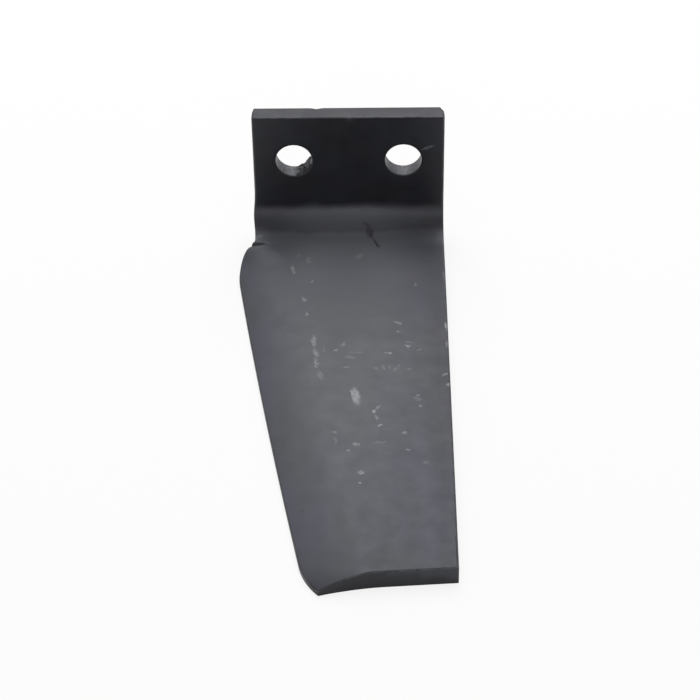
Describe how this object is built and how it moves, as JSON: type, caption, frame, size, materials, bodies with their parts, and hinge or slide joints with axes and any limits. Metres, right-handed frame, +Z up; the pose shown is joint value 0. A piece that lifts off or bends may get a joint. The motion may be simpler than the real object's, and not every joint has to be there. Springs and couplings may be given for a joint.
{
  "type": "power harrow tine",
  "caption": "L-shaped forged steel soil tine: a flat bolting flange with two round holes, bent square to a tapering blade with a bevelled leading edge and a pointed clipped corner.",
  "frame": {"origin": "midway between the two bolt holes, on the flange's outer face, where the tine seats on its carrier", "axes": "+Y square out of the flange's outer face, along the bolts; +Z up the flange, away from the blade; the blade runs along -Y with its flat underside down and its straight trailing side at +X"},
  "size_m": [0.0957, 0.25, 0.068],
  "materials": {
    "black_paint": "satin charcoal black paint over forged steel, scuffed to pale primer grey in places"
  },
  "bodies": {
    "root": {"harrow_tine": "black_paint"}
  },
  "joints": []
}
